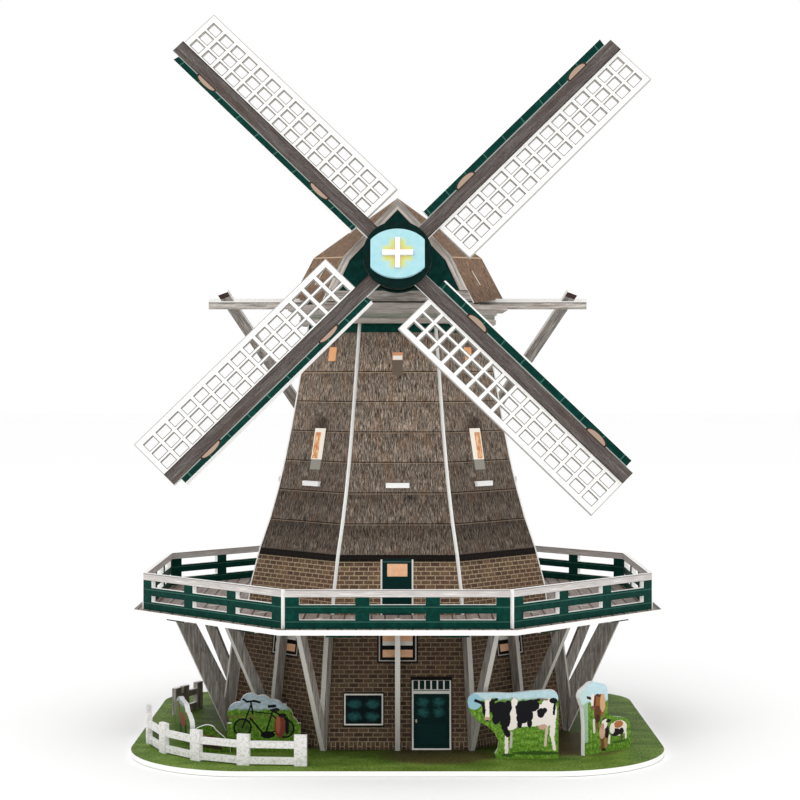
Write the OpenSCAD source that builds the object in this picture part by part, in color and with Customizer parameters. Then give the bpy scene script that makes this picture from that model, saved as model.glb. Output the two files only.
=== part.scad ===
// Smock windmill puzzle: printed foam board pieces that slot together, with sails that turn.
// Origin on the tower axis at the underside of the base, +Z up, front door towards -Y.

/* [Board] */
// Thickness of every board
board = 2.4; // [2.2:0.1:2.6]
// Play left around a tab in its slot
play = 0.1; // [0.05:0.05:0.15]

/* [Base] */
// Half the width of the base
base_half_w = 127.5; // [125:0.5:134]
// Distance from the tower axis to the front edge
base_front = 132; // [130:1:136]
// Distance from the tower axis to the rear edge
base_rear = 82; // [80:1:100]
// Radius of the front corners
front_corner_r = 58; // [50:1:64]
// Radius of the rear corners
rear_corner_r = 30; // [15:1:40]

/* [Tower] */
// Distance from the axis to a brick wall at its foot
wall_foot = 83.7; // [82:0.1:85]
// Distance from the axis to a brick wall under the deck
wall_head = 75.9; // [75:0.1:77]
// Distance from the axis to the wall where the thatch starts
thatch_foot = 69.7; // [69:0.1:70]
// Distance from the axis to the wall at the tower top
tower_head = 45.7; // [45:0.1:46]
// Height of the top of the deck
deck_top = 65.5; // [65:0.1:66]
// Height at which the thatch starts
thatch_z = 93.8; // [93:0.1:95]
// Height of one course of thatch
course = 14.75; // [14.5:0.05:15]
// Height of the top of the tower walls
tower_top = 206.2; // [206:0.1:207]
// Height of the middle of the inner rib
rib_z = 126.7; // [125:0.1:128]

/* [Deck] */
// Distance from the axis to a side of the deck
deck_side = 129.7; // [129:0.1:131]
// Distance from the axis to the outer face of the railing
rail_side = 125.7; // [125:0.1:126]
// Height of the railing
rail_h = 17.7; // [17:0.1:18.5]

/* [Cap] */
// Distance from the axis to the front gable
gable_y = 52; // [51:0.5:53]
// Distance from the axis to the rear gable
rear_gable_y = 46; // [44:0.5:48]
// Distance from the axis to the front face of the middle frame
frame_y = 26; // [25:0.5:27]
// Distance from the axis to the front face of the tail beam
beam_y = 12.2; // [12:0.1:13]
// Height of the underside of the cap floor
cap_floor_z = 213.4; // [213.4:0.1:214]
// Half the length of the tail beam
beam_half = 97; // [90:1:99]

/* [Sails] */
// Distance of the sails' plane in front of the tower axis
sail_y = 72.8; // [72:0.1:74]
// Height of the middle of the sails
sail_z = 236.4; // [236:0.1:237]
// Backward lean of the windshaft
lean = 11.3; // [11:0.1:12]
// Angle of the first sail from level
sail_turn = 45.3; // [44:0.1:46]
// Length of a sail from the windshaft
sail_r = 151.8; // [148:0.1:152]
// Width of a sail's lattice
lattice_w = 20.7; // [20:0.1:22]
// Number of openings along a lattice
lattice_cells = 15; // [12:1:16]
// Radius of the hub rings
hub_r = 16.6; // [16:0.1:17]
// Half the width of the cross-shaped windshaft
shaft_half = 7.4; // [7:0.1:7.6]

/* [Hidden] */
SIDES = [for (i = [0:7]) str(i + 1)];
$fn = 96;

half_turn = 22.5;
wide = 400;
deck_z = deck_top - board;
slot = board + 2 * play;
tab_w = 10;

// Colours of the printed faces
brick = "rosybrown";
thatch = "tan";
painted = "darkgreen";
timber = "darkgray";
grass = "olivedrab";
white_print = "whitesmoke";

// ---- Shared shapes ----

// Regular octagon with a flat towards -Y, given the distance to its sides
module octagon(side)
    rotate(half_turn) circle(r = side / cos(half_turn), $fn = 8);

// Flat octagonal ring
module ring_board(side, hole_r)
    linear_extrude(board)
    difference() {
        octagon(side);
        circle(r = hole_r);
    }

// Puts flat work in the plane through origin that holds the two directions
module in_plane(origin, along, up) {
    x = along / norm(along);
    z = cross(along, up) / norm(cross(along, up));
    y = cross(z, x);
    multmatrix([
        [x[0], y[0], z[0], origin[0]],
        [x[1], y[1], z[1], origin[1]],
        [x[2], y[2], z[2], origin[2]],
        [0, 0, 0, 1]
    ]) children();
}

// Box centred on X and Y with its underside at z
module block(w, d, h, z)
    translate([-w / 2, -d / 2, z]) cube([w, d, h]);

// Upright board facing the front: an outline in X and Z whose front face is at y
module front_board(y)
    translate([0, y + board, 0]) rotate([90, 0, 0]) linear_extrude(board) children();

// ---- Tower ----

// Distance from the axis to the outer face of a lower wall
function lower_side(z) =
    wall_foot + (wall_head - wall_foot) * (z - board) / (deck_z - board);

// The same for the thatch, which leans in and flares out at its foot
thatch_h = tower_top - thatch_z;
thatch_lean = 0.16;
flare = thatch_foot - tower_head - thatch_lean * thatch_h;
function thatch_side(z) =
    tower_head + thatch_lean * (tower_top - z) + flare * pow((tower_top - z) / thatch_h, 4);

skirt_break = [75.7, 74.3];
upper_profile = concat(
    [[deck_top, wall_head - 0.3], skirt_break],
    [for (k = [0:7]) [thatch_z + k * course, thatch_side(thatch_z + k * course)]],
    [[tower_top, tower_head]]
);
lower_profile = [[board, wall_foot], [deck_z, wall_head]];

function half_width(side) = tan(half_turn) * (side - board);
function reversed(list) = [for (i = [len(list) - 1:-1:0]) list[i]];

// Adds an upright stretch for the tabs at both ends of a profile
function lengthened(profile) = concat(
    [[profile[0][0] - board, profile[0][1]]],
    profile,
    [[profile[len(profile) - 1][0] + board, profile[len(profile) - 1][1]]]
);

// One wall board bent along a profile of height and distance, cut square at its edges.
// Its children are the tabs, as flat shapes in X and Z that reach into the board.
module wall_board(profile) {
    section = concat(
        [for (p = lengthened(profile)) [-p[1], p[0]]],
        [for (p = reversed(lengthened(profile))) [-p[1] + board, p[0]]]
    );
    outline = concat(
        [for (p = profile) [half_width(p[1]), p[0]]],
        [for (p = reversed(profile)) [-half_width(p[1]), p[0]]]
    );
    intersection() {
        rotate([90, 0, 90]) linear_extrude(wide, center = true) polygon(section);
        rotate([90, 0, 0]) linear_extrude(wide, center = true) {
            polygon(outline);
            children();
        }
    }
}

wall_tab_x = 16;
function tab_y(side) = -side + board / 2;
foot_tab_w = 14;
foot_tab_x = 14;

// How far the flat shape of a tab reaches into its board
tab_root = 1;

module lower_wall(i)
    color(brick) rotate(45 * i) {
        wall_board(lower_profile) {
            for (x = [-foot_tab_x, foot_tab_x])
                translate([x - foot_tab_w / 2, 0]) square([foot_tab_w, board + tab_root]);
            translate([-wall_tab_x - tab_w / 2, deck_z - tab_root])
                square([tab_w, board + tab_root]);
        }
    }

rib_tab_w = 11.5;
rib_reach = 1.6;
rib_hole = 15;
rib_side = thatch_side(rib_z) - board - 0.8;

module upper_wall(i)
    color(thatch) rotate(45 * i) {
        difference() {
            wall_board(upper_profile);
            translate([0, -thatch_side(rib_z), 0])
                block(rib_tab_w + 2 * play, 4 * board, slot, rib_z - slot / 2);
        }
        translate([wall_tab_x, tab_y(wall_head), 0]) block(tab_w, board, board, deck_z);
    }

module tower_rib()
    color(white_print) translate([0, 0, rib_z - board / 2]) {
        ring_board(rib_side, rib_hole);
        tab_end = thatch_side(rib_z) + rib_reach;
        for (i = [0:7]) rotate(45 * i)
            translate([0, -(tab_end + rib_side - 2) / 2, 0])
                block(rib_tab_w, tab_end - rib_side + 2, board, 0);
    }

// ---- Struts under the deck ----

strut_w = 6.2;
strut_back_w = 5;
strut_bar = 2.5;
strut_tab = 8;
strut_foot_w = 1.8;
strut_rise = deck_z - board;

// Outline in distance and height for a strut that backs on a wall leaning from foot to head
module strut_outline(foot, head, outer) {
    back = (head - foot) / strut_rise;
    slope = (outer - foot - strut_foot_w) / strut_rise;
    // Height above the foot where the diagonal parts from the upright
    crotch = (strut_back_w + strut_w - strut_foot_w) / (slope - back);
    top = strut_rise - strut_bar;
    translate([0, board]) difference() {
        union() {
            polygon([[foot, 0], [foot + strut_foot_w, 0], [outer, strut_rise], [head, strut_rise]]);
            translate([head + 12, strut_rise - 0.5]) square([strut_tab, board + 0.5]);
            translate([foot, -board]) square([strut_foot_w, board + 0.5]);
        }
        polygon([
            [foot + strut_back_w + back * crotch, crotch],
            [outer - strut_w - slope * strut_bar, top],
            [foot + strut_back_w + back * top, top]
        ]);
    }
}

corner_foot = wall_foot / cos(half_turn) + 0.5;
corner_head = wall_head / cos(half_turn) + 0.5;
side_gap = 0.15;

corner_outer = 121;
side_outer = 117;

module strut(foot, head, outer)
    rotate([90, 0, 0]) linear_extrude(board, center = true) strut_outline(foot, head, outer);

module corner_struts()
    color(timber) for (i = [0:7]) rotate(45 * i + half_turn)
        strut(corner_foot, corner_head, corner_outer);

module wall_struts()
    color(timber) for (i = [0:7]) rotate(45 * i)
        strut(wall_foot + side_gap, wall_head + side_gap, side_outer);

// Slots for the strut tabs, in the deck or the base
module strut_slots(z, from_foot, length) {
    start = [corner_foot, corner_head, wall_foot + side_gap, wall_head + side_gap];
    corner_start = from_foot ? start[0] : start[1] + 12;
    side_start = from_foot ? start[2] : start[3] + 12;
    for (i = [0:7]) rotate(45 * i) {
        rotate(half_turn) translate([corner_start - play, -slot / 2, z - 1])
            cube([length + 2 * play, slot, board + 2]);
        translate([side_start - play, -slot / 2, z - 1])
            cube([length + 2 * play, slot, board + 2]);
    }
}

// ---- Deck and railing ----

rail_tab_w = 13.6;
rail_tab_x = 25.8;
rail_tab_drop = 1.4;
rail_open_w = 25.4;
rail_post_w = 6.5;
rail_low = 4;
rail_gap_low = 3;
rail_mid = 3.9;
rail_gap_high = 3.4;

module deck_plate()
    color(timber) difference() {
        translate([0, 0, deck_z]) linear_extrude(board) octagon(deck_side);
        for (i = [0:7]) rotate(45 * i) {
            for (x = [-rail_tab_x, rail_tab_x]) translate([x, tab_y(rail_side), 0])
                block(rail_tab_w + 2 * play, slot, board + 2, deck_z - 1);
            for (x = [-wall_tab_x, wall_tab_x]) translate([x, tab_y(wall_head), 0])
                block(tab_w + 2 * play, slot, board + 2, deck_z - 1);
        }
        strut_slots(deck_z, false, strut_tab);
    }

module railing(i) {
    length = 2 * half_width(rail_side);
    color(painted) rotate(45 * i) front_board(-rail_side) difference() {
        union() {
            translate([-length / 2, deck_top]) square([length, rail_h]);
            for (x = [-rail_tab_x, rail_tab_x])
                translate([x - rail_tab_w / 2, deck_z - rail_tab_drop])
                    square([rail_tab_w, board + rail_tab_drop + 0.5]);
        }
        for (k = [-1:1]) {
            left = k * (rail_open_w + rail_post_w) - rail_open_w / 2;
            translate([left, deck_top + rail_low]) square([rail_open_w, rail_gap_low]);
            translate([left, deck_top + rail_low + rail_gap_low + rail_mid])
                square([rail_open_w, rail_gap_high]);
        }
    }
}

// ---- Base ----

// Outline with large front corners and small rear ones
module base_outline()
    hull() {
        for (s = [-1, 1]) {
            translate([s * (base_half_w - front_corner_r), front_corner_r - base_front])
                circle(r = front_corner_r);
            translate([s * (base_half_w - rear_corner_r), base_rear - rear_corner_r])
                circle(r = rear_corner_r);
        }
    }

module base_plate()
    color(grass) difference() {
        linear_extrude(board) base_outline();
        for (i = [0:7]) rotate(45 * i)
            for (x = [-foot_tab_x, foot_tab_x]) translate([x, tab_y(wall_foot), 0])
                block(foot_tab_w + 2 * play, slot, board + 2, -1);
        strut_slots(0, true, strut_foot_w);
        for (place = figure_places) translate([place[0], place[1], 0]) rotate(place[2])
            for (x = place[3]) translate([x, board / 2, 0])
                block(stand_tab + 2 * play, slot, board + 2, -1);
        for (route = [front_route, rear_route]) for (k = [0:len(route) - 1])
            translate(route[k]) rotate(post_turn(route, k))
                block(post_tab + 2 * play, slot, board + 2, -1);
    }

// ---- Fences ----

fence_h = 14.1;
post_w = 5.8;
post_tab = 4;
rail_w = 3.1;
low_rail_z = 0.6;
high_rail_z = 7.9;
// Posts of each fence, from one end to the other
front_route = [[-44.2, -119.9], [-70.4, -117.9], [-93.1, -107.4], [-110.2, -90], [-120.2, -67.5],
    [-123.6, -43]];
rear_route = [[-115.8, 9], [-112.6, 16.5], [-106.8, 29]];

function heading(a, b) = atan2(b[1] - a[1], b[0] - a[0]);
function post_turn(route, k) =
    k == 0 ? heading(route[0], route[1])
    : k == len(route) - 1 ? heading(route[k - 1], route[k])
    : heading(route[k - 1], route[k + 1]);

module fence(route)
    color(white_print) {
        for (k = [0:len(route) - 1]) translate(route[k]) rotate(post_turn(route, k)) {
            block(post_w, board, fence_h, board);
            block(post_tab, board, board + 1, 0);
        }
        for (k = [0:len(route) - 2]) {
            step = route[k + 1] - route[k];
            translate(route[k]) rotate(heading(route[k], route[k + 1]))
                for (z = [low_rail_z, high_rail_z])
                    translate([1, -board / 2 + 0.2, board + z])
                        cube([norm(step) - 2, board - 0.4, rail_w]);
        }
    }

module front_fence()
    fence(front_route);

module rear_fence()
    fence(rear_route);

// ---- Cut-out figures ----

stand_tab = 6;
// Place of each figure: X and Y of its left end, its turn and where its tabs are
bicycle_place = [-80.8, -85.7, 0, [10, 26]];
cow_place = [32.3, -104, 0, [19, 37]];
calf_place = [87.5, -97.8, 39.3, [6, 25]];
horse_place = [-110, -47, -71.3, [6, 26]];
lamb_place = [-96.5, -90, 0, [5, 13]];
figure_places = [bicycle_place, cow_place, calf_place, horse_place, lamb_place];

// Points along an arc, for rounding the corner of an outline
function arc(centre, r, from, to) =
    [for (t = [0:5]) centre + r * [cos(from + (to - from) * t / 5), sin(from + (to - from) * t / 5)]];

module figure_board(place)
    color(grass) translate([place[0], place[1], board]) rotate(place[2]) front_board(0) {
        children();
        for (x = place[3]) translate([x - stand_tab / 2, -board]) square([stand_tab, board + 1]);
    }

module bicycle_board()
    figure_board(bicycle_place) {
        translate([0, 0]) square([34.8, 13]);
        translate([5.5, 9]) square([22.5, 13]);
        for (p = [[5.5, 17.5, 5.5], [11, 22.2, 5], [16.5, 21.3, 5], [22, 19.2, 5]])
            translate([p[0], p[1]]) circle(r = p[2]);
        for (p = [[26, 16, 5.2], [29, 12, 4.6], [30.6, 9.2, 4.2]])
            translate([p[0], p[1]]) circle(r = p[2]);
    }

module cow_board()
    figure_board(cow_place) polygon(concat(
        [[13.5, 0], [42.4, 0]],
        arc([38.4, 27.9], 4, 0, 90),
        [[30, 31.4], [20, 30.3], [13, 30.6]],
        arc([4.6, 26.2], 4.4, 80, 190),
        [[1.4, 21.5], [4.8, 17.4], [9, 15.4], [12.6, 12], [14.6, 8], [14.2, 4.6], [12.8, 2.2]]
    ));

module calf_board()
    figure_board(calf_place) polygon(concat(
        [[0, 0], [31.3, 0], [31.3, 6]],
        arc([25.5, 9.5], 5.5, 0, 80),
        [[19, 16.4], [15.6, 17.8], [15.4, 27]],
        arc([11, 28.4], 4.4, 0, 60),
        arc([5.4, 29.6], 4.6, 80, 120),
        arc([0, 28], 3.4, 120, 190),
        [[-0.8, 22], [0, 14]]
    ));

module horse_board()
    figure_board(horse_place) polygon(concat(
        [[0, 0], [34, 0], [34.2, 8]],
        arc([29.8, 9.4], 4.4, 0, 60),
        [[26.6, 15.6], [24.6, 15.4]],
        arc([19, 14], 5, 30, 80),
        arc([8, 14.8], 5.6, 60, 100),
        arc([4, 14.4], 4, 110, 180)
    ));

module lamb_board()
    figure_board(lamb_place) polygon(concat(
        [[0, 0], [17.5, 0], [17.4, 3.4], [14.5, 7.2], [10.6, 10.6]],
        arc([6.6, 8], 5, 50, 110),
        arc([3.5, 8.4], 3.5, 110, 180)
    ));

// ---- Cap ----

gable_foot_half = 37.4;
gable_knee_half = 26.6;
knee_z = 239.2;
gable_apex_z = 267.3;
ridge_z = 272.6;
mid_foot_half = 54.7;
mid_knee_half = 43.6;
mid_knee_z = 241.4;
eave_z = 220.3;
gable_foot_z = cap_floor_z + board;
curb_hole = 15;
cap_side = 55.8;

// Point on the axis of the windshaft, s in front of the sails' plane
shaft_dir = [0, -cos(lean), sin(lean)];
function on_shaft(s) = [0, -sail_y, sail_z] + s * shaft_dir;

// Work whose +Z points out along the windshaft, from the middle of the sails
module on_sails()
    translate([0, -sail_y, sail_z]) rotate([90 - lean, 0, 0]) children();

shaft_bore = shaft_half + 0.5;
module shaft_hole()
    on_sails() translate([0, 0, -100]) cylinder(r = shaft_bore, h = 99);

module curb_plate_lower()
    color(timber) translate([0, 0, tower_top]) ring_board(50, curb_hole);

module curb_plate_middle()
    color(painted) translate([0, 0, tower_top + board]) ring_board(49.4, curb_hole);

module curb_plate_upper()
    color(timber) translate([0, 0, tower_top + 2 * board]) ring_board(50.5, curb_hole);

module cap_floor()
    color(timber) translate([0, 0, cap_floor_z]) linear_extrude(board) difference() {
        octagon(cap_side);
        circle(r = curb_hole);
    }

function gable_outline(foot, knee, low, mid, apex) = [
    [-foot, low], [foot, low], [knee, mid], [0, apex], [-knee, mid]
];

module front_gable()
    color(painted) difference() {
        front_board(-gable_y) polygon(gable_outline(
            gable_foot_half, gable_knee_half, gable_foot_z, knee_z, gable_apex_z));
        shaft_hole();
    }

// How far a surface that runs from the front gable to the middle has opened at a distance y
function opened(at_gable, at_mid, y) = at_mid + (at_gable - at_mid) * y / gable_y;

roof_gap = 0.3;
module middle_frame()
    color(timber) difference() {
        front_board(-frame_y) polygon(gable_outline(
            opened(gable_foot_half, mid_foot_half, frame_y) - board - 1.4,
            opened(gable_knee_half, mid_knee_half, frame_y) - board - 1.2,
            gable_foot_z,
            knee_z - 1.2,
            opened(gable_apex_z, ridge_z, frame_y) - board - 1.6));
        shaft_hole();
    }

module rear_gable()
    color(painted) front_board(rear_gable_y - board) polygon(gable_outline(
        gable_foot_half, gable_knee_half, gable_foot_z, knee_z, gable_apex_z));

// Corners of the roof's section from its left foot over the ridge to its right foot
function section(foot, knee, ridge, foot_up, knee_up) = [
    [-foot, foot_up], [-knee, knee_up], [0, ridge], [knee, knee_up], [foot, foot_up]
];
function placed(corners, y) = [for (c = corners) [c[0], y, c[1]]];

end_foot = gable_foot_half + 0.4;
end_foot_z = gable_foot_z + 0.4;
end_knee = gable_knee_half - 0.4;
end_knee_z = knee_z - 0.4;
end_ridge_z = gable_apex_z - 0.5;
ridge_inset = 3.4;
knee_inset = [2, 1.5];
foot_inset = 2.5;

// Half of the roof, one board folded at the ridge and knees, from the gable at -y to the middle
module roof_half(y) {
    points = concat(
        placed(section(end_foot, end_knee, end_ridge_z, end_foot_z, end_knee_z), -y),
        placed(section(mid_foot_half, mid_knee_half, ridge_z, eave_z, mid_knee_z), -play / 2),
        placed(section(
            end_foot - foot_inset, end_knee - knee_inset[0], end_ridge_z - ridge_inset,
            end_foot_z, end_knee_z - knee_inset[1]), -y),
        placed(section(
            mid_foot_half - foot_inset, mid_knee_half - knee_inset[0], ridge_z - ridge_inset,
            eave_z, mid_knee_z - knee_inset[1]), -play / 2)
    );
    // Corners run 0-4 outside at the gable, 5-9 outside at the middle, then the same inside
    left = [for (i = [0, 1]) each [
        [i, 5 + i, i + 1], [i + 1, 5 + i, 6 + i],
        [10 + i, 11 + i, 15 + i], [11 + i, 16 + i, 15 + i]
    ]];
    right = [for (i = [2, 3]) each [
        [i, 6 + i, i + 1], [i, 5 + i, 6 + i],
        [10 + i, 11 + i, 16 + i], [10 + i, 16 + i, 15 + i]
    ]];
    ends = [for (i = [0:3]) each [[i, i + 1, 11 + i, 10 + i], [5 + i, 15 + i, 16 + i, 6 + i]]];
    feet = [[0, 10, 15, 5], [4, 9, 19, 14]];
    polyhedron(points, concat(left, right, ends, feet));
}

module both_sides()
    for (s = [0, 1]) mirror([s, 0, 0]) children();

module roof_front()
    color(thatch) difference() {
        roof_half(gable_y - board - play / 2);
        beam_space();
    }

module roof_rear()
    color(thatch) mirror([0, 1, 0]) roof_half(rear_gable_y - board - play / 2);

// ---- Tail ----

beam_z = 214.4;
beam_h = 5.4;
brace_w = 5.6;
brace_top = [89.5, -14.4, 223];
brace_foot = [4.2, 108, 84];

module beam_space()
    translate([0, -beam_y + board / 2, 0])
        block(2 * beam_half, slot, beam_h + 2 * play, beam_z - play);

// Brace on the right, made larger all round by more
module brace(more) {
    run = brace_foot - brace_top;
    in_plane(brace_top, run, [1, 0, 0])
        translate([-more, -brace_w / 2 - more, -board / 2 - more])
            cube([norm(run) + 2 * more, brace_w + 2 * more, board + 2 * more]);
}

// Beam notched over the cap floor and around the braces
module tail_beam()
    color(timber) difference() {
        front_board(-beam_y) difference() {
            translate([-beam_half, beam_z]) square([2 * beam_half, beam_h]);
            translate([-cap_side - play, beam_z - 1])
                square([2 * cap_side + 2 * play, gable_foot_z - beam_z + 1]);
        }
        both_sides() brace(play);
    }

module tail_braces()
    color(timber) both_sides() brace(0);

module tail_pole()
    color(timber) translate([-board / 2, 106, deck_top]) cube([board, 7, 60]);

// ---- Sails and hub ----

stock_left = -3.3;
stock_right = 3.8;
stock_root = 9;
lattice_root = 24.5;
end_bar = 3.2;
cross_bar = 2.3;
outer_rail = 3.3;
inner_rail = 1.4;
small_bar = 1.6;
fold = 30;
flange_w = 5.2;
flange_setback = 4.4;

module each_sail()
    for (i = [0:3]) rotate(sail_turn + 90 * i) children();

// One lattice board: X runs out along the sail, and the lattice lies on -Y
module lattice_outline() {
    length = sail_r - lattice_root;
    pitch = (length - 2 * end_bar + cross_bar) / lattice_cells;
    clear_w = lattice_w - outer_rail - inner_rail;
    open_w = (clear_w - 2 * small_bar) / 3;
    difference() {
        translate([lattice_root, -stock_right - lattice_w]) square([length, lattice_w + 6.6]);
        for (c = [0:lattice_cells - 1]) for (k = [0:2])
            translate([
                lattice_root + end_bar + c * pitch,
                -stock_right - lattice_w + outer_rail + k * (open_w + small_bar)
            ]) square([pitch - cross_bar, open_w]);
    }
}

module lattices()
    color(white_print) on_sails() each_sail()
        translate([0, 0, -board / 2]) linear_extrude(board) lattice_outline();

// Stock board: a flat strip with a flange folded towards the front
module stocks()
    color(timber) on_sails() each_sail() translate([0, 0, board / 2]) {
        translate([stock_root, -stock_right, 0])
            cube([sail_r - stock_root, stock_right - stock_left, board]);
        translate([lattice_root, -stock_left, 0]) rotate([fold, 0, 0])
            cube([sail_r - flange_setback - lattice_root, flange_w, board]);
    }

module hub_disc(s, r)
    on_sails() translate([0, 0, s]) difference() {
        cylinder(r = r, h = board);
        cross_cut(board + 2);
    }

// Cross-shaped hole for the windshaft
module cross_cut(h) {
    block(2 * shaft_half + 2 * play, slot, h, -1);
    block(slot, 2 * shaft_half + 2 * play, h, -1);
}

rear_ring_s = -board / 2 - 0.1;
inner_ring_s = 1.5 * board + 0.1;
front_ring_s = inner_ring_s + board;
plate_s = front_ring_s + board;
shaft_front_s = plate_s + board + 2;
shaft_rear_s = -(sail_y - frame_y + 9) / cos(lean);

module hub_rear_ring()
    color(painted) hub_disc(rear_ring_s, hub_r);

module hub_inner_ring()
    color(painted) hub_disc(inner_ring_s, hub_r - 0.6);

module hub_front_ring()
    color(painted) hub_disc(front_ring_s, hub_r);

plate_r = 15.4;
plate_half = 12.9;
module hub_plate()
    color("lightblue") on_sails() translate([0, 0, plate_s]) difference() {
        intersection() {
            scale([1, 0.78, 1]) cylinder(r = plate_r, h = board);
            block(2 * plate_half, 2 * plate_r, board, 0);
        }
        cross_cut(board + 2);
    }

shaft_len = shaft_front_s - shaft_rear_s;
// One half of the interlocked windshaft, with its half-length slot at one end
module shaft_plate(slot_at_front) {
    slot_from = slot_at_front ? shaft_rear_s + shaft_len / 2 : shaft_rear_s - 1;
    difference() {
        block(2 * shaft_half, board, shaft_len, shaft_rear_s);
        block(board + play, 2 * board, shaft_len / 2 + 1, slot_from);
    }
}

module shaft_plate_level()
    color(white_print) on_sails() shaft_plate(true);

module shaft_plate_upright()
    color(white_print) on_sails() rotate(90) shaft_plate(false);

module shaft_collar()
    color(painted) hub_disc(-18.6, 11);

module shaft_stop()
    color(timber) hub_disc(shaft_rear_s + 1, 9.2);

// ---- Assembly ----

for (i = [0:7]) {
    lower_wall(i);
    upper_wall(i);
    railing(i);
}
base_plate();
deck_plate();
tower_rib();
corner_struts();
wall_struts();
curb_plate_lower();
curb_plate_middle();
curb_plate_upper();
cap_floor();
front_gable();
middle_frame();
rear_gable();
roof_front();
roof_rear();
tail_beam();
tail_braces();
tail_pole();
lattices();
stocks();
hub_rear_ring();
hub_inner_ring();
hub_front_ring();
hub_plate();
shaft_plate_upright();
shaft_plate_level();
shaft_collar();
shaft_stop();
front_fence();
rear_fence();
bicycle_board();
cow_board();
calf_board();
horse_board();
lamb_board();
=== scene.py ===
import math

import bpy
from mathutils import Matrix, Vector

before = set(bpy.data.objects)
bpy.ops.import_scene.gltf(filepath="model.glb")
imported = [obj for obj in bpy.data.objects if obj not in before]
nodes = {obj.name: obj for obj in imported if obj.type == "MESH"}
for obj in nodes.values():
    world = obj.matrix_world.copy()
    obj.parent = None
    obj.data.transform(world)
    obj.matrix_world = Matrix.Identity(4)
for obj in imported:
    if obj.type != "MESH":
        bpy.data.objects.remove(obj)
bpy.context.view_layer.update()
mm = 1000
bumpStrength = 0.6
matt = 0.06  # printed card hardly shines


def linear(c):  # one 0-255 screen value to linear light
    return ((c / 255 + 0.055) / 1.055) ** 2.4 if c > 10 else c / 255 / 12.92


def rgb(r, g, b):
    return linear(r), linear(g), linear(b), 1


class Sock:  # one shader socket that does sums
    def __init__(self, tree, out):
        self.tree, self.out = tree, out

    def add(self, kind, settings=None, **inputs):
        node = self.tree.nodes.new("ShaderNode" + kind)
        for key, value in (settings or {}).items():
            setattr(node, key, value)
        for key, value in inputs.items():
            numbered = key[0] == "i" and key[1:].isdigit()
            slot = node.inputs[int(key[1:]) if numbered else key.replace("_", " ")]
            if isinstance(value, Sock):
                self.tree.links.new(value.out, slot)
            else:
                slot.default_value = value
        return node

    def wrap(self, node, which=0):
        return Sock(self.tree, node.outputs[which])

    def math(self, op, a, b=0.0, c=0.0):
        return self.wrap(self.add("Math", {"operation": op}, i0=a, i1=b, i2=c))

    def __add__(self, other):
        return self.math("ADD", self, other)

    def __radd__(self, other):
        return self.math("ADD", other, self)

    def __sub__(self, other):
        return self.math("SUBTRACT", self, other)

    def __rsub__(self, other):
        return self.math("SUBTRACT", other, self)

    def __mul__(self, other):
        return self.math("MULTIPLY", self, other)

    def __rmul__(self, other):
        return self.math("MULTIPLY", other, self)

    def __truediv__(self, other):
        return self.math("DIVIDE", self, other)

    def __rtruediv__(self, other):
        return self.math("DIVIDE", other, self)

    def __pow__(self, other):
        return self.math("POWER", self, other)

    def __rpow__(self, other):
        return self.math("POWER", other, self)

    def __gt__(self, other):
        return self.math("GREATER_THAN", self, other)

    def __lt__(self, other):
        return self.math("LESS_THAN", self, other)

    def soft(self, low, high):  # 0 below low, 1 above high
        step = {"interpolation_type": "SMOOTHSTEP"}
        return self.wrap(self.add("MapRange", step, Value=self, From_Min=low, From_Max=high))


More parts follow.
